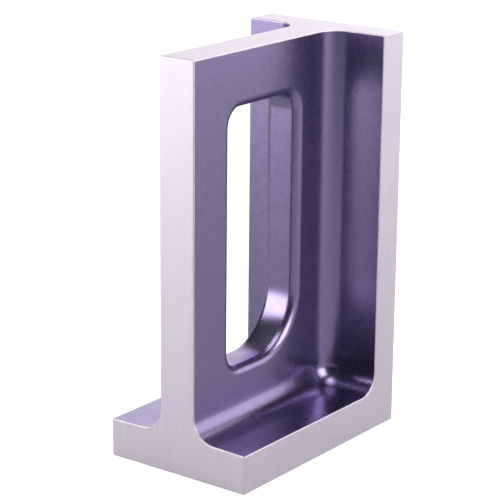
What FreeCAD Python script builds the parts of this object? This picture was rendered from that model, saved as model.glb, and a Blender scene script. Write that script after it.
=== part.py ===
import FreeCAD, Part
import math
import os
import Sketcher

# Webbed angle plate: one grey-iron casting.  A base and a back plate stand at a right
# angle, and a central web with a tall clamping slot joins them.  The six outer sides
# are ground square; the two side pockets and the slot keep their cast draft.
# Frame: origin at the middle of the footprint, +X across the width, +Y from the web's
# free edge to the back plate, +Z up.  Millimetres and degrees.

SIZES = (
    ("height", 200, "underside to top"),
    ("depth", 125, "web's free edge to the back plate's rear side"),
    ("width", 80, "across the base and the back plate"),
    ("base_thickness", 19, "base, at its side edges"),
    ("back_thickness", 17, "back plate, at its side edges"),
    ("web_thickness", 20, "central web"),
    ("corner_radius", 11, "fillets in the two side pockets"),
    ("casting_draft", 1.5, "taper of the pockets and the slot, in degrees"),
    ("slot_width", 52, "slot along Y, at the middle of the web"),
    ("slot_height", 126, "slot along Z, at the middle of the web"),
    ("slot_corner_radius", 9, "three of the slot's corners"),
    ("slot_sweep_radius", 28, "slot's corner at its foot beside the back plate"),
    ("rim_radius", 4.5, "rounding of the slot's two rims"),
    ("edge_break", 0.6, "chamfer on every edge of the ground sides"),
)
QUARTER_TURN = math.pi / 2
ON_PLANE = 0.001


def make_sheet(doc):
    sheet = doc.addObject("Spreadsheet::Sheet", "Sizes")
    for row, (name, value, note) in enumerate(SIZES, start=1):
        sheet.set("A%d" % row, name)
        sheet.set("B%d" % row, str(value))
        sheet.setAlias("B%d" % row, name)
        sheet.set("C%d" % row, note)
    doc.recompute()


def size(body, name):
    return float(body.Document.Sizes.get(name))


def origin_plane(body, role):
    return next(plane for plane in body.Origin.OriginFeatures if plane.Role == role)


# Sketches.  Every one is parallel to the web, so its horizontal direction is the
# model's +Y and its vertical direction is +Z.

def new_sketch(body, name):
    sketch = body.newObject("Sketcher::SketchObject", name)
    sketch.AttachmentSupport = [(origin_plane(body, "YZ_Plane"), "")]
    sketch.MapMode = "FlatFace"
    return sketch


def constrain(sketch, kind, *where):
    return sketch.addConstraint(Sketcher.Constraint(kind, *where))


def bind(sketch, label, formula, kind, *where):
    """Adds a dimension to a sketch, at its present size, and ties it to the sheet."""
    index = constrain(sketch, kind, *where, sketch.evalExpression(formula))
    sketch.renameConstraint(index, label)
    sketch.setExpression("Constraints." + label, formula)


def draw_rectangle(sketch, front, rear, foot, head):
    """Draws a rectangle whose sides stand at four formulas; a foot of None is the underside."""
    left, right, top = (sketch.evalExpression(formula) for formula in (front, rear, head))
    bottom = sketch.evalExpression(foot) if foot else 0
    places = ((left, bottom), (right, bottom), (right, top), (left, top))
    corners = [FreeCAD.Vector(y, z, 0) for y, z in places]
    lines = []
    for start, end in zip(corners, corners[1:] + corners[:1]):
        lines.append(sketch.addGeometry(Part.LineSegment(start, end)))
    for line, following in zip(lines, lines[1:] + lines[:1]):
        constrain(sketch, "Coincident", line, 2, following, 1)
    foot_line, rear_line, head_line, front_line = lines
    for line in (foot_line, head_line):
        constrain(sketch, "Horizontal", line)
    for line in (rear_line, front_line):
        constrain(sketch, "Vertical", line)
    bind(sketch, "front", front, "DistanceX", -1, 1, front_line, 1)
    bind(sketch, "rear", rear, "DistanceX", -1, 1, rear_line, 1)
    bind(sketch, "head", head, "DistanceY", -1, 1, head_line, 1)
    if foot is None:
        constrain(sketch, "PointOnObject", foot_line, 1, -1)
    else:
        bind(sketch, "foot", foot, "DistanceY", -1, 1, foot_line, 1)


def slot_centre(body):
    """The slot stands in the middle of the web's open panel."""
    y = -size(body, "back_thickness") / 2
    z = (size(body, "base_thickness") + size(body, "height")) / 2
    return FreeCAD.Vector(y, z, 0)


def draw_slot_outline(body, sketch):
    """Draws straight sides between four arcs, the rear foot's with a radius of its own."""
    half_width = size(body, "slot_width") / 2
    half_height = size(body, "slot_height") / 2
    plain = size(body, "slot_corner_radius")
    sweep = size(body, "slot_sweep_radius")
    corners = ((1, -1, sweep), (1, 1, plain), (-1, 1, plain), (-1, -1, plain))
    arcs = []
    for turn, (across, up, radius) in enumerate(corners, start=-1):
        inset = FreeCAD.Vector(across * (half_width - radius), up * (half_height - radius), 0)
        circle = Part.Circle(slot_centre(body) + inset, FreeCAD.Vector(0, 0, 1), radius)
        arc = Part.ArcOfCircle(circle, turn * QUARTER_TURN, (turn + 1) * QUARTER_TURN)
        arcs.append(sketch.addGeometry(arc))
    lines = []
    for arc, following in zip(arcs, arcs[1:] + arcs[:1]):
        straight = Part.LineSegment(sketch.getPoint(arc, 2), sketch.getPoint(following, 1))
        line = sketch.addGeometry(straight)
        constrain(sketch, "Tangent", arc, 2, line, 1)
        constrain(sketch, "Tangent", line, 2, following, 1)
        lines.append(line)
    rear, head, front, sill = lines
    constrain(sketch, "Vertical", rear)
    constrain(sketch, "Horizontal", head)
    constrain(sketch, "Vertical", front)
    constrain(sketch, "Horizontal", sill)
    rear_foot, rear_top, front_top, front_foot = arcs
    constrain(sketch, "Equal", rear_top, front_top)
    constrain(sketch, "Equal", front_top, front_foot)
    bind(sketch, "corner_radius", "Sizes.slot_corner_radius", "Radius", rear_top)
    bind(sketch, "sweep_radius", "Sizes.slot_sweep_radius", "Radius", rear_foot)
    bind(sketch, "width", "Sizes.slot_width", "DistanceX", front, 1, rear, 1)
    bind(sketch, "height", "Sizes.slot_height", "DistanceY", sill, 1, head, 1)
    bind(sketch, "rear", "(Sizes.slot_width - Sizes.back_thickness) / 2", "DistanceX", -1, 1, rear, 1)
    bind(sketch, "head", "(Sizes.slot_height + Sizes.base_thickness + Sizes.height) / 2",
         "DistanceY", -1, 1, head, 1)


# Edges are chosen by where they lie.

def marks(edge):
    """The edge's ends and its centre, which lie in any plane that holds the edge."""
    return [vertex.Point for vertex in edge.Vertexes] + [edge.CenterOfMass]


def lies_on(edge, axis, place):
    return all(abs(point[axis] - place) < ON_PLANE for point in marks(edge))


def is_on_ground_side(body, edge):
    half_width = size(body, "width") / 2
    half_depth = size(body, "depth") / 2
    sides = ((0, -half_width), (0, half_width), (1, -half_depth), (1, half_depth),
             (2, 0.0), (2, size(body, "height")))
    return any(lies_on(edge, axis, place) for axis, place in sides)


def is_on_slot_rim(body, edge):
    """Whether an edge lies on a face of the web and is part of the slot's outline."""
    half_web = size(body, "web_thickness") / 2
    centre = slot_centre(body)
    reach_y = size(body, "slot_width") / 2 + size(body, "rim_radius")
    reach_z = size(body, "slot_height") / 2 + size(body, "rim_radius")
    near_slot = all(abs(point.y - centre.x) < reach_y and abs(point.z - centre.y) < reach_z
                    for point in marks(edge))
    return near_slot and (lies_on(edge, 0, half_web) or lies_on(edge, 0, -half_web))


def edge_names(shape, wanted):
    return ["Edge%d" % number for number, edge in enumerate(shape.Edges, start=1) if wanted(edge)]


# Features, in the order in which the casting takes its form.

def add_envelope(body):
    """The block that the six ground sides bound."""
    sketch = new_sketch(body, "envelope_outline")
    draw_rectangle(sketch, "-Sizes.depth / 2", "Sizes.depth / 2", None, "Sizes.height")
    envelope = body.newObject("PartDesign::Pad", "envelope")
    envelope.Profile = sketch
    envelope.SideType = "Symmetric"
    envelope.setExpression("Length", "Sizes.width")
    return envelope


def add_side_pockets(body):
    """The space on each side of the web, tapered towards it and open at the front and top."""
    sketch = new_sketch(body, "pocket_outline")
    sketch.setExpression(".AttachmentOffset.Base.z", "Sizes.width / 2")
    draw_rectangle(sketch,
                   "-Sizes.depth / 2 - Sizes.corner_radius",
                   "Sizes.depth / 2 - Sizes.back_thickness",
                   "Sizes.base_thickness",
                   "Sizes.height + Sizes.corner_radius")
    pocket = body.newObject("PartDesign::Pocket", "right_pocket")
    pocket.Profile = sketch
    pocket.setExpression("Length", "(Sizes.width - Sizes.web_thickness) / 2")
    pocket.setExpression("TaperAngle", "-Sizes.casting_draft")
    pair = body.newObject("PartDesign::Mirrored", "left_pocket")
    pair.Originals = [pocket]
    pair.MirrorPlane = (origin_plane(body, "YZ_Plane"), [""])
    body.Tip = pair
    body.Document.recompute()
    return pair


def add_fillets(body, name, edges, formula):
    before = body.Tip
    fillet = body.newObject("PartDesign::Fillet", name)
    fillet.Base = (before, edges)
    fillet.setExpression("Radius", formula)
    body.Document.recompute()
    return fillet


def add_slot(body):
    """The slot, widening from the middle of the web to both of its faces."""
    sketch = new_sketch(body, "slot_outline")
    draw_slot_outline(body, sketch)
    slot = body.newObject("PartDesign::Pocket", "slot")
    slot.Profile = sketch
    slot.SideType = "Two sides"
    slot.setExpression("Length", "Sizes.web_thickness")
    slot.setExpression("Length2", "Sizes.web_thickness")
    slot.setExpression("TaperAngle", "Sizes.casting_draft")
    slot.setExpression("TaperAngle2", "Sizes.casting_draft")
    body.Document.recompute()
    return slot


def add_edge_break(body):
    before = body.Tip
    chamfer = body.newObject("PartDesign::Chamfer", "edge_break")
    chamfer.Base = (before, edge_names(before.Shape, lambda edge: is_on_ground_side(body, edge)))
    chamfer.setExpression("Size", "Sizes.edge_break")
    body.Document.recompute()
    return chamfer


def make_angle_plate(doc):
    body = doc.addObject("PartDesign::Body", "angle_plate")
    body.Label = "angle_plate"
    add_envelope(body)
    pockets = add_side_pockets(body)
    inner = edge_names(pockets.Shape, lambda edge: not is_on_ground_side(body, edge))
    add_fillets(body, "pocket_fillets", inner, "Sizes.corner_radius")
    slot = add_slot(body)
    rims = edge_names(slot.Shape, lambda edge: is_on_slot_rim(body, edge))
    add_fillets(body, "slot_rims", rims, "Sizes.rim_radius")
    add_edge_break(body)
    return body


def check(doc, bodies):
    for item in doc.Objects:
        if "Invalid" in item.State or "Error" in item.State:
            raise RuntimeError("%s failed: %s" % (item.Name, item.State))
    for body in bodies:
        shape = body.Shape
        if shape.isNull() or not shape.isValid() or len(shape.Solids) != 1:
            raise RuntimeError("%s is not one valid solid" % body.Label)


def main():
    doc = FreeCAD.newDocument("angle_plate")
    make_sheet(doc)
    bodies = [make_angle_plate(doc)]
    doc.recompute()
    check(doc, bodies)
    os.makedirs("parts", exist_ok=True)
    for body in bodies:
        body.Shape.exportStep("parts/%s.step" % body.Label)


main()
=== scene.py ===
"""Webbed cast-iron angle plate: the casting with its ground and enamelled sides, and a studio stage."""

import math

import bmesh
import bpy
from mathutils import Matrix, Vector


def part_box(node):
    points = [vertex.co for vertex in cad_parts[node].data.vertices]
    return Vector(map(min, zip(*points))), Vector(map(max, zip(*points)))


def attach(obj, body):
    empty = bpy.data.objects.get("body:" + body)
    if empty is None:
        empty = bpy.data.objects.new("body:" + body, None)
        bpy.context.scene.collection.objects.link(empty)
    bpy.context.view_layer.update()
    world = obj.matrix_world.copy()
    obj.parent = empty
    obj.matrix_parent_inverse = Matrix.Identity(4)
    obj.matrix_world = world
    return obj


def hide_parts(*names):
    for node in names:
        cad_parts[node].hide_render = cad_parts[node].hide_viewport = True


bl_info = {
    "name": "Webbed Angle Plate",
    "version": (1, 0, 0),
    "blender": (4, 5, 0),
    "location": "3D View > Sidebar > Angle Plate",
    "description": "Models a webbed cast-iron angle plate, finishes it and sets it on a studio floor",
    "category": "Object",
}

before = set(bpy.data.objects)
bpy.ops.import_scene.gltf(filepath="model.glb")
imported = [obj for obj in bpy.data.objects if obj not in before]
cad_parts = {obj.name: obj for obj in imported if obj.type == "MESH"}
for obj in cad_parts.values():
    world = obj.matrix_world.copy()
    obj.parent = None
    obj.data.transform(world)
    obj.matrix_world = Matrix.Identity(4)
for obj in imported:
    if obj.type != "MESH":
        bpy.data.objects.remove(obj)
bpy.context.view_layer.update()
PLATE_LOW, PLATE_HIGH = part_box("angle_plate")
PLATE_SIZE = PLATE_HIGH - PLATE_LOW

# Tests on the mesh, and how finely its roundings are cut.
ON_PLANE = 2e-5
ALONG_AXIS = 0.9
SHARP = math.radians(30)
FLAT = math.radians(0.5)
FILLET_SEGMENTS = 12
SWEEP_SEGMENTS = 16
CORNER_SEGMENTS = 8
RIM_SEGMENTS = 6
BREAK_SEGMENTS = 2
GROUND_UPRIGHT, GROUND_LEVEL, ENAMELLED = range(3)

# Finishes: repeats for each metre, and heights in metres.
IRON_CLOUDS = 14.0
ENAMEL_CLOUDS = 20.0
GRINDING_MARKS = 900.0
SAND_GRAINS = 420.0
STRETCH = 0.01
MARK_HEIGHT = 0.00005
MARK_STRENGTH = 0.35
SKIN_HEIGHT = 0.0012
SKIN_STRENGTH = 0.06

# Stage: name, azimuth and elevation of each lamp in degrees, and the camera's aim.
LAMPS = (
    ("front_left", -40.0, 14.0),
    ("right", 90.0, 25.0),
    ("rear_right", 143.0, 12.0),
    ("rear_left", -143.0, 16.0),
    ("rear", 180.0, 40.0),
    ("top", 0.0, 89.0),
)
SOFTBOX_SIZE = 1.1
SOFTBOX_DISTANCE = 1.6
FLOOR_REACH = 4.0
AIM_FROM_MIDDLE = Vector((-0.0058, 0.0014, -0.0047))


# Properties.  Lengths are in metres and angles in radians.

def length(name, value, note):
    return bpy.props.FloatProperty(name=name, description=note, default=value, min=0.0,
                                   precision=4, unit="LENGTH")


def angle(name, degrees, note):
    return bpy.props.FloatProperty(name=name, description=note, default=math.radians(degrees),
                                   unit="ROTATION")


def colour(name, value, note):
    return bpy.props.FloatVectorProperty(name=name, description=note, default=value, size=3,
                                         min=0.0, max=1.0, subtype="COLOR")


def share(name, value, note):
    return bpy.props.FloatProperty(name=name, description=note, default=value, min=0.0, max=1.0,
                                   subtype="FACTOR")


def number(name, value, note):
    return bpy.props.FloatProperty(name=name, description=note, default=value, min=0.0)


class CastingSizes(bpy.types.PropertyGroup):
    """Sizes of the casting."""

    height: length("Height", PLATE_SIZE.z, "Underside to top")
    depth: length("Depth", PLATE_SIZE.y, "Web's free edge to the back plate's rear side")
    width: length("Width", PLATE_SIZE.x, "Across the base and the back plate")
    base_thickness: length("Base thickness", 0.019, "Base, at its side edges")
    back_thickness: length("Back thickness", 0.017, "Back plate, at its side edges")
    web_thickness: length("Web thickness", 0.020, "Central web")
    corner_radius: length("Corner radius", 0.011, "Fillets in the two side pockets")
    casting_draft: angle("Casting draft", 1.5, "Taper of the pockets and the slot")
    slot_width: length("Slot width", 0.052, "Slot along Y, at the middle of the web")
    slot_height: length("Slot height", 0.126, "Slot along Z, at the middle of the web")
    slot_corner_radius: length("Slot corner radius", 0.009, "Three of the slot's corners")
    slot_sweep_radius: length("Slot sweep radius", 0.028, "Slot's corner at its foot beside the back plate")
    rim_radius: length("Rim radius", 0.0045, "Rounding of the slot's two rims")
    edge_break: length("Edge break", 0.0006, "Dressed edges of the ground sides")


class CastingFinish(bpy.types.PropertyGroup):
    """Colours and surfaces of the casting."""

    iron: colour("Ground iron", (0.69, 0.665, 0.76), "Ground sides")
    iron_warm: colour("Warm ground iron", (0.74, 0.665, 0.73), "Warmer clouds on the ground sides")
    enamel: colour("Enamel", (0.26, 0.23, 0.40), "Enamel in the pockets and the slot")
    enamel_thin: colour("Thin enamel", (0.25, 0.20, 0.36), "Enamel where it lies thin on the grain")
    iron_roughness: share("Iron roughness", 0.52, "Roughness of the ground sides")
    enamel_roughness: share("Enamel roughness", 0.28, "Roughness of the enamel")


class StageSettings(bpy.types.PropertyGroup):
    """Floor, lamps and camera."""

    floor: colour("Floor", (0.50, 0.50, 0.51), "Plain floor, as the lamps light it")
    floor_lift: share("Floor lift", 0.80, "White that only the camera sees on the floor")
    ambient: share("Ambient", 0.05, "Strength of the surroundings as a light")
    front_left_power: number("Front left lamp", 17.0, "Low soft lamp, in watts")
    right_power: number("Right lamp", 17.0, "Soft lamp, in watts")
    rear_right_power: number("Rear right lamp", 7.0, "Low soft lamp, in watts")
    rear_left_power: number("Rear left lamp", 5.5, "Low soft lamp, in watts")
    rear_power: number("Rear lamp", 8.0, "Soft lamp behind the plate, in watts")
    top_power: number("Top lamp", 14.0, "Soft lamp overhead, in watts")
    camera_azimuth: angle("Camera azimuth", 36.8, "From straight in front towards the right side")
    camera_elevation: angle("Camera elevation", 16.28, "Above the horizon")
    camera_roll: angle("Camera roll", 0.56, "About the view axis")
    camera_distance: length("Camera distance", 0.9576, "Camera to the point it looks at")
    camera_lens: number("Lens", 141.6, "Focal length in millimetres")


class AnglePlateSettings(bpy.types.PropertyGroup):
    """Everything that a user would change."""

    sizes: bpy.props.PointerProperty(type=CastingSizes)
    finish: bpy.props.PointerProperty(type=CastingFinish)
    stage: bpy.props.PointerProperty(type=StageSettings)


# Casting: one closed mesh, shaped as the part is cast and ground.

def tangent_length(radius, corner_angle):
    """How far a rounding of this radius reaches from a corner with this angle between its sides."""
    return radius / math.tan(corner_angle / 2)


def round_edges(bm, edges, reach, segments):
    """Rounds edges; reach is how far the rounding runs onto each side."""
    bmesh.ops.bevel(bm, geom=edges, offset=reach, offset_type="OFFSET", segments=segments,
                    profile=0.5, affect="EDGES", clamp_overlap=False, material=-1)


def cut_across(bm, place, normal, faces=None):
    """Cuts the mesh, or only the given faces, along a plane without parting it."""
    faces = list(faces or bm.faces)
    geometry = set(faces)
    for face in faces:
        geometry.update(face.edges)
        geometry.update(face.verts)
    bmesh.ops.bisect_plane(bm, geom=list(geometry), plane_co=place, plane_no=normal)


def pocket_taper(sizes):
    """How far the draft moves a pocket's walls between its mouth and the web."""
    return (sizes.width - sizes.web_thickness) / 2 * math.tan(sizes.casting_draft)


def slot_taper(sizes):
    """How far the draft widens the slot between the web's middle and its faces."""
    return sizes.web_thickness / 2 * math.tan(sizes.casting_draft)


def make_web(bm, sizes):
    """The web alone, as a block that runs the full depth and height."""
    bmesh.ops.create_cube(bm, size=1.0)
    bmesh.ops.scale(bm, vec=(sizes.web_thickness, sizes.depth, sizes.height), verts=bm.verts)
    bmesh.ops.translate(bm, vec=(0, 0, sizes.height / 2), verts=bm.verts)


def extrude_base_and_back(bm, sizes):
    """Draws the L of the base and the back plate out of both faces of the web, with its draft."""
    taper = pocket_taper(sizes)
    wall = sizes.depth / 2 - sizes.back_thickness - taper
    floor = sizes.base_thickness + taper
    cut_across(bm, (0, wall, 0), (0, 1, 0))
    cut_across(bm, (0, 0, floor), (0, 0, 1))
    for side in (-1, 1):
        outline = [face for face in bm.faces if face.normal.x * side > ALONG_AXIS
                   and (face.calc_center_median().y > wall or face.calc_center_median().z < floor)]
        grown = bmesh.ops.extrude_face_region(bm, geom=outline)["geom"]
        bmesh.ops.delete(bm, geom=outline, context="FACES")
        outer = [item for item in grown if isinstance(item, bmesh.types.BMVert)]
        bmesh.ops.translate(bm, vec=(side * (sizes.width - sizes.web_thickness) / 2, 0, 0), verts=outer)
        walls = [v for v in outer if abs(v.co.y - wall) < ON_PLANE and v.co.z > floor - ON_PLANE]
        floors = [v for v in outer if abs(v.co.z - floor) < ON_PLANE and v.co.y < wall + ON_PLANE]
        bmesh.ops.translate(bm, vec=(0, taper, 0), verts=walls)
        bmesh.ops.translate(bm, vec=(0, 0, -taper), verts=floors)
        bm.normal_update()
    bmesh.ops.dissolve_limit(bm, angle_limit=FLAT, verts=bm.verts, edges=bm.edges)


def fillet_pockets(bm, sizes):
    """Rounds every inner corner of the two pockets."""
    inner = [edge for edge in bm.edges
             if edge.calc_face_angle(0.0) > SHARP and not edge.is_convex]
    round_edges(bm, inner, tangent_length(sizes.corner_radius, math.pi / 2 + sizes.casting_draft),
                FILLET_SEGMENTS)


def slot_middle(sizes):
    """The slot stands in the middle of the web's open panel."""
    return Vector((0, -sizes.back_thickness / 2, (sizes.base_thickness + sizes.height) / 2))


def cut_slot(bm, sizes):
    """Cuts the slot through the web, widening from the web's middle to both faces."""
    middle = slot_middle(sizes)
    panels = [max((face for face in bm.faces if face.normal.x * side > ALONG_AXIS
                   and abs(abs(face.calc_center_median().x) - sizes.web_thickness / 2) < ON_PLANE),
                  key=lambda face: face.calc_area()) for side in (-1, 1)]
    bmesh.ops.inset_individual(bm, faces=panels, thickness=sizes.rim_radius, use_even_offset=True)
    for panel in panels:
        centre = panel.calc_center_median()
        for vert in panel.verts:
            across = math.copysign(sizes.slot_width / 2 + slot_taper(sizes), vert.co.y - centre.y)
            up = math.copysign(sizes.slot_height / 2 + slot_taper(sizes), vert.co.z - centre.z)
            vert.co = Vector((vert.co.x, middle.y + across, middle.z + up))
    loops = [edge for panel in panels for edge in panel.edges]
    bmesh.ops.delete(bm, geom=panels, context="FACES_ONLY")
    walls = bmesh.ops.bridge_loops(bm, edges=loops)["faces"]
    cut_across(bm, (0, 0, 0), (1, 0, 0), walls)
    for vert in bm.verts:
        if abs(vert.co.x) < ON_PLANE and abs(vert.co.z - middle.z) < sizes.slot_height:
            inward = middle - vert.co
            if abs(inward.y) < sizes.slot_width and abs(inward.z) < sizes.slot_height / 2 + sizes.rim_radius:
                vert.co.y += math.copysign(slot_taper(sizes), inward.y)
                vert.co.z += math.copysign(slot_taper(sizes), inward.z)
    bm.normal_update()


def is_slot_corner(edge, sizes):
    """Whether an edge runs through the web at one of the slot's corners."""
    middle = slot_middle(sizes)
    along = edge.verts[0].co - edge.verts[1].co
    inside = all(abs(v.co.x) < sizes.web_thickness / 2 + ON_PLANE
                 and abs(v.co.y - middle.y) < sizes.slot_width
                 and abs(v.co.z - middle.z) < sizes.slot_height / 2 + sizes.rim_radius
                 for v in edge.verts)
    return inside and abs(along.x) > ALONG_AXIS * along.length


def is_slot_rim(edge, sizes):
    """Whether an edge parts a face of the web from the slot's wall."""
    middle = slot_middle(sizes)
    on_face = all(abs(abs(v.co.x) - sizes.web_thickness / 2) < ON_PLANE for v in edge.verts)
    near = all(abs(v.co.y - middle.y) < sizes.slot_width / 2 + sizes.rim_radius
               and abs(v.co.z - middle.z) < sizes.slot_height / 2 + sizes.rim_radius
               for v in edge.verts)
    return on_face and near and edge.calc_face_angle(0.0) > SHARP


def round_slot(bm, sizes):
    """Rounds the slot's swept corner and its three plain ones, then its two rims."""
    middle = slot_middle(sizes)
    swept = [edge for edge in bm.edges if is_slot_corner(edge, sizes)
             and edge.verts[0].co.y > middle.y and edge.verts[0].co.z < middle.z]
    round_edges(bm, swept, sizes.slot_sweep_radius, SWEEP_SEGMENTS)
    plain = [edge for edge in bm.edges if is_slot_corner(edge, sizes)
             and edge.calc_face_angle(0.0) > SHARP]
    round_edges(bm, plain, sizes.slot_corner_radius, CORNER_SEGMENTS)
    rims = [edge for edge in bm.edges if is_slot_rim(edge, sizes)]
    round_edges(bm, rims, tangent_length(sizes.rim_radius, math.pi / 2 + sizes.casting_draft),
                RIM_SEGMENTS)


def ground_planes(sizes):
    """The six ground sides, as pairs of an axis and a place on it."""
    return ((0, -sizes.width / 2), (0, sizes.width / 2), (1, -sizes.depth / 2), (1, sizes.depth / 2),
            (2, 0.0), (2, sizes.height))


def lies_on_ground_side(item, sizes, within=ON_PLANE):
    """Whether a face or an edge lies on one of the ground sides, to within a distance."""
    return any(all(abs(v.co[axis] - place) < within for v in item.verts)
               for axis, place in ground_planes(sizes))


def break_edges(bm, sizes):
    """Dresses every edge of the ground sides."""
    edges = [edge for edge in bm.edges
             if edge.calc_face_angle(0.0) > SHARP and lies_on_ground_side(edge, sizes)]
    round_edges(bm, edges, sizes.edge_break, BREAK_SEGMENTS)


def give_finishes(bm, sizes):
    """Ground faces and dressed edges are bare iron; all else stays enamelled."""
    for face in bm.faces:
        face.smooth = True
        if not lies_on_ground_side(face, sizes, sizes.edge_break + ON_PLANE):
            face.material_index = ENAMELLED
        elif abs(face.normal.z) > math.sqrt(0.5):
            face.material_index = GROUND_LEVEL
        else:
            face.material_index = GROUND_UPRIGHT


def make_casting(sizes):
    """The whole casting, from the web outwards."""
    bm = bmesh.new()
    make_web(bm, sizes)
    extrude_base_and_back(bm, sizes)
    fillet_pockets(bm, sizes)
    cut_slot(bm, sizes)
    round_slot(bm, sizes)
    break_edges(bm, sizes)
    bmesh.ops.recalc_face_normals(bm, faces=bm.faces)
    give_finishes(bm, sizes)
    mesh = bpy.data.meshes.new("angle_plate_casting")
    bm.to_mesh(mesh)
    bm.free()
    casting = bpy.data.objects.new("angle_plate_casting", mesh)
    bpy.context.scene.collection.objects.link(casting)
    shading = casting.modifiers.new("flat_faces", "WEIGHTED_NORMAL")
    shading.keep_sharp = True
    return casting


# Node trees.

def add_node(tree, kind, **settings):
    """A node with some of its settings."""
    node = tree.nodes.new(kind)
    for name, value in settings.items():
        setattr(node, name, value)
    return node


def new_group(name, inputs, outputs):
    """An empty node group; inputs are name and default, outputs are names of values."""
    group = bpy.data.node_groups.new(name, "ShaderNodeTree")
    group.interface.new_socket("Vector", in_out="INPUT", socket_type="NodeSocketVector")
    for label, default in inputs:
        socket = group.interface.new_socket(label, in_out="INPUT", socket_type="NodeSocketFloat")
        socket.default_value = default
    for label in outputs:
        group.interface.new_socket(label, in_out="OUTPUT", socket_type="NodeSocketFloat")
    return group, add_node(group, "NodeGroupInput"), add_node(group, "NodeGroupOutput")


def add_noise(tree, vector, scale, detail, roughness=0.5):
    """A noise from 0 to 1; scale is a socket or a number of repeats for each metre."""
    noise = add_node(tree, "ShaderNodeTexNoise")
    noise.inputs["Detail"].default_value = detail
    noise.inputs["Roughness"].default_value = roughness
    tree.links.new(vector, noise.inputs["Vector"])
    if isinstance(scale, bpy.types.NodeSocket):
        tree.links.new(scale, noise.inputs["Scale"])
    else:
        noise.inputs["Scale"].default_value = scale
    return noise.outputs["Fac"]


def add_math(tree, operation, first, second):
    """A sum or other operation on sockets or numbers."""
    node = add_node(tree, "ShaderNodeMath", operation=operation)
    for socket, value in zip(node.inputs, (first, second)):
        if isinstance(value, bpy.types.NodeSocket):
            tree.links.new(value, socket)
        else:
            socket.default_value = value
    return node.outputs["Value"]


def add_range(tree, value, low, high):
    """Spreads a mask of 0 to 1 over low to high."""
    node = add_node(tree, "ShaderNodeMapRange")
    node.inputs["To Min"].default_value = low
    node.inputs["To Max"].default_value = high
    tree.links.new(value, node.inputs["Value"])
    return node.outputs["Result"]


def add_blend(tree, factor, first, second):
    """A colour between two, by a mask."""
    node = add_node(tree, "ShaderNodeMix", data_type="RGBA")
    node.inputs["A"].default_value = (*first, 1.0)
    node.inputs["B"].default_value = (*second, 1.0)
    tree.links.new(factor, node.inputs["Factor"])
    return node.outputs["Result"]


def get_clouds():
    """Group: broad soft clouds and a finer mottle, for every finish."""
    if "clouds" in bpy.data.node_groups:
        return bpy.data.node_groups["clouds"]
    group, source, result = new_group("clouds", (("Scale", 14.0),), ("Broad", "Mottle"))
    broad = add_noise(group, source.outputs["Vector"], source.outputs["Scale"], 2.0)
    finer = add_math(group, "MULTIPLY", source.outputs["Scale"], 9.0)
    mottle = add_noise(group, source.outputs["Vector"], finer, 4.0, 0.6)
    group.links.new(broad, result.inputs["Broad"])
    group.links.new(mottle, result.inputs["Mottle"])
    return group


def get_grinding():
    """Group: the fine parallel marks of a grinding wheel, with a few deeper ones."""
    if "grinding" in bpy.data.node_groups:
        return bpy.data.node_groups["grinding"]
    group, source, result = new_group("grinding", (("Scale", 900.0),), ("Marks",))
    fine = add_noise(group, source.outputs["Vector"], source.outputs["Scale"], 3.0, 0.6)
    coarser = add_math(group, "MULTIPLY", source.outputs["Scale"], 0.3)
    bands = add_noise(group, source.outputs["Vector"], coarser, 1.0)
    marks = add_math(group, "ADD", add_math(group, "MULTIPLY", fine, 0.7),
                     add_math(group, "MULTIPLY", bands, 0.3))
    group.links.new(marks, result.inputs["Marks"])
    return group


def get_cast_skin():
    """Group: sand grain, softened by enamel, on the gentle waves of a casting."""
    if "cast_skin" in bpy.data.node_groups:
        return bpy.data.node_groups["cast_skin"]
    group, source, result = new_group("cast_skin", (("Scale", 420.0),), ("Height", "Grain"))
    grain = add_noise(group, source.outputs["Vector"], source.outputs["Scale"], 3.0, 0.55)
    wide = add_math(group, "MULTIPLY", source.outputs["Scale"], 0.08)
    waves = add_noise(group, source.outputs["Vector"], wide, 1.0)
    height = add_math(group, "ADD", add_math(group, "MULTIPLY", grain, 0.25), waves)
    group.links.new(height, result.inputs["Height"])
    group.links.new(grain, result.inputs["Grain"])
    return group


def place_group(tree, group, vector, scale):
    """A use of a node group at a scale of its own."""
    node = add_node(tree, "ShaderNodeGroup", node_tree=group)
    node.inputs["Scale"].default_value = scale
    tree.links.new(vector, node.inputs["Vector"])
    return node


def new_material(name):
    """A material with its shader and the piece's own coordinates."""
    material = bpy.data.materials.new(name)
    material.use_nodes = True
    tree = material.node_tree
    shader = next(node for node in tree.nodes if node.type == "BSDF_PRINCIPLED")
    coordinates = add_node(tree, "ShaderNodeTexCoord").outputs["Object"]
    return material, tree, shader, coordinates


def add_bump(tree, shader, height, distance, strength):
    """Raises a mask as relief of this height in metres."""
    bump = add_node(tree, "ShaderNodeBump")
    bump.inputs["Distance"].default_value = distance
    bump.inputs["Strength"].default_value = strength
    tree.links.new(height, bump.inputs["Height"])
    tree.links.new(bump.outputs["Normal"], shader.inputs["Normal"])


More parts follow.
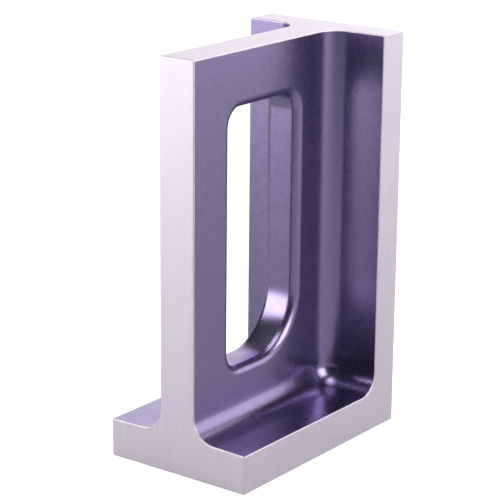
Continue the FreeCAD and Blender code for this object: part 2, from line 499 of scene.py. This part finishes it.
def make_ground_iron(name, finish, lay):
    """Ground iron; lay shortens the pattern along the grinding marks."""
    material, tree, shader, coordinates = new_material(name)
    clouds = place_group(tree, get_clouds(), coordinates, IRON_CLOUDS)
    along = add_node(tree, "ShaderNodeMapping")
    along.inputs["Scale"].default_value = lay
    tree.links.new(coordinates, along.inputs["Vector"])
    marks = place_group(tree, get_grinding(), along.outputs["Vector"], GRINDING_MARKS).outputs["Marks"]
    tone = add_blend(tree, clouds.outputs["Broad"], finish.iron, finish.iron_warm)
    shade = add_node(tree, "ShaderNodeMix", data_type="RGBA", blend_type="MULTIPLY")
    shade.inputs["Factor"].default_value = 1.0
    tree.links.new(tone, shade.inputs["A"])
    tree.links.new(add_range(tree, marks, 0.90, 1.10), shade.inputs["B"])
    tree.links.new(shade.outputs["Result"], shader.inputs["Base Color"])
    rough = add_math(tree, "ADD", add_range(tree, marks, -0.08, 0.08),
                     add_range(tree, clouds.outputs["Mottle"], finish.iron_roughness - 0.05,
                               finish.iron_roughness + 0.05))
    tree.links.new(rough, shader.inputs["Roughness"])
    add_bump(tree, shader, marks, MARK_HEIGHT, MARK_STRENGTH)
    shader.inputs["Metallic"].default_value = 1.0
    return material


def make_enamel(finish):
    """Glossy enamel over the skin of a sand casting."""
    material, tree, shader, coordinates = new_material("grey_enamel")
    clouds = place_group(tree, get_clouds(), coordinates, ENAMEL_CLOUDS)
    skin = place_group(tree, get_cast_skin(), coordinates, SAND_GRAINS)
    depth = add_math(tree, "ADD", add_math(tree, "MULTIPLY", clouds.outputs["Broad"], 0.5),
                     add_math(tree, "MULTIPLY", skin.outputs["Grain"], 0.5))
    tree.links.new(add_blend(tree, depth, finish.enamel_thin, finish.enamel), shader.inputs["Base Color"])
    rough = add_range(tree, clouds.outputs["Mottle"], finish.enamel_roughness - 0.08,
                      finish.enamel_roughness + 0.08)
    tree.links.new(rough, shader.inputs["Roughness"])
    add_bump(tree, shader, skin.outputs["Height"], SKIN_HEIGHT, SKIN_STRENGTH)
    shader.inputs["Metallic"].default_value = 1.0
    return material


class ANGLEPLATE_OT_casting(bpy.types.Operator):
    """Model the casting and give it its ground and enamelled finishes"""

    bl_idname = "angle_plate.casting"
    bl_label = "Casting"

    def execute(self, context):
        settings = context.scene.angle_plate
        casting = make_casting(settings.sizes)
        for name, lay in (("ground_iron_upright", (1, 1, STRETCH)), ("ground_iron_level", (STRETCH, 1, 1))):
            casting.data.materials.append(make_ground_iron(name, settings.finish, lay))
        casting.data.materials.append(make_enamel(settings.finish))
        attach(casting, "root")
        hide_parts("angle_plate")
        return {"FINISHED"}


# Stage.

def direction(azimuth, elevation):
    """From the middle of the plate, with azimuth 0 in front of it and 90 degrees to its right."""
    return Vector((math.sin(azimuth) * math.cos(elevation), -math.cos(azimuth) * math.cos(elevation),
                   math.sin(elevation)))


def look_at(item, target, roll=0.0):
    """Turns a lamp or a camera towards a point."""
    item.rotation_euler = (target - item.location).to_track_quat("-Z", "Y").to_euler()
    item.rotation_euler.rotate_axis("Z", roll)


def seen_by_camera(tree):
    """1 for what the camera shows, and 0 for light on a surface or in a reflection."""
    return add_node(tree, "ShaderNodeLightPath").outputs["Is Camera Ray"]


def make_floor(stage):
    """A plain floor that keeps the plate's shadow and shows white."""
    bm = bmesh.new()
    bmesh.ops.create_grid(bm, x_segments=1, y_segments=1, size=FLOOR_REACH)
    mesh = bpy.data.meshes.new("floor")
    bm.to_mesh(mesh)
    bm.free()
    floor = bpy.data.objects.new("floor", mesh)
    bpy.context.scene.collection.objects.link(floor)
    material, tree, shader, _ = new_material("pale_floor")
    shader.inputs["Base Color"].default_value = (*stage.floor, 1.0)
    shader.inputs["Roughness"].default_value = 0.9
    shader.inputs["Specular IOR Level"].default_value = 0.1
    shader.inputs["Emission Color"].default_value = (1.0, 1.0, 1.0, 1.0)
    lift = add_math(tree, "MULTIPLY", seen_by_camera(tree), stage.floor_lift)
    tree.links.new(lift, shader.inputs["Emission Strength"])
    floor.data.materials.append(material)


def make_surroundings(stage):
    """A white background that lights the plate only faintly."""
    world = bpy.data.worlds.new("studio")
    world.use_nodes = True
    bpy.context.scene.world = world
    background = next(node for node in world.node_tree.nodes if node.type == "BACKGROUND")
    background.inputs["Color"].default_value = (1.0, 1.0, 1.0, 1.0)
    strength = add_range(world.node_tree, seen_by_camera(world.node_tree), stage.ambient, 1.0)
    world.node_tree.links.new(strength, background.inputs["Strength"])


def add_lamp(name, middle, azimuth, elevation, power):
    """A large white softbox that faces the plate."""
    lamp = bpy.data.lights.new(name, "AREA")
    lamp.shape = "SQUARE"
    lamp.size = SOFTBOX_SIZE
    lamp.energy = power
    item = bpy.data.objects.new(name, lamp)
    bpy.context.scene.collection.objects.link(item)
    item.location = middle + direction(math.radians(azimuth), math.radians(elevation)) * SOFTBOX_DISTANCE
    look_at(item, middle)


def make_camera(stage, middle):
    """The camera, aimed near the plate's middle."""
    camera = bpy.data.objects.new("camera", bpy.data.cameras.new("camera"))
    bpy.context.scene.collection.objects.link(camera)
    camera.data.sensor_width = 36.0
    camera.data.lens = stage.camera_lens
    target = middle + AIM_FROM_MIDDLE
    camera.location = target + direction(stage.camera_azimuth, stage.camera_elevation) * stage.camera_distance
    look_at(camera, target, stage.camera_roll)
    bpy.context.scene.camera = camera


class ANGLEPLATE_OT_stage(bpy.types.Operator):
    """Lay the floor and set the lamps and the camera"""

    bl_idname = "angle_plate.stage"
    bl_label = "Stage"

    def execute(self, context):
        stage = context.scene.angle_plate.stage
        middle = (PLATE_LOW + PLATE_HIGH) / 2
        context.scene.view_settings.view_transform = "Standard"
        make_floor(stage)
        make_surroundings(stage)
        for name, azimuth, elevation in LAMPS:
            add_lamp(name + "_lamp", middle, azimuth, elevation, getattr(stage, name + "_power"))
        make_camera(stage, middle)
        return {"FINISHED"}


class ANGLEPLATE_PT_panel(bpy.types.Panel):
    bl_idname = "ANGLEPLATE_PT_panel"
    bl_label = "Angle Plate"
    bl_space_type = "VIEW_3D"
    bl_region_type = "UI"
    bl_category = "Angle Plate"

    def draw(self, context):
        settings = context.scene.angle_plate
        for title, group, operator in (("Sizes", settings.sizes, None),
                                       ("Finish", settings.finish, ANGLEPLATE_OT_casting),
                                       ("Stage", settings.stage, ANGLEPLATE_OT_stage)):
            column = self.layout.column(align=True)
            column.label(text=title)
            for name in group.bl_rna.properties.keys():
                if name not in ("rna_type", "name"):
                    column.prop(group, name)
            if operator:
                column.operator(operator.bl_idname)


CLASSES = (CastingSizes, CastingFinish, StageSettings, AnglePlateSettings,
           ANGLEPLATE_OT_casting, ANGLEPLATE_OT_stage, ANGLEPLATE_PT_panel)


def register():
    for item in CLASSES:
        bpy.utils.register_class(item)
    bpy.types.Scene.angle_plate = bpy.props.PointerProperty(type=AnglePlateSettings)


def unregister():
    del bpy.types.Scene.angle_plate
    for item in reversed(CLASSES):
        bpy.utils.unregister_class(item)


def main():
    register()
    bpy.ops.angle_plate.casting()
    bpy.ops.angle_plate.stage()


if __name__ == "__main__":
    main()
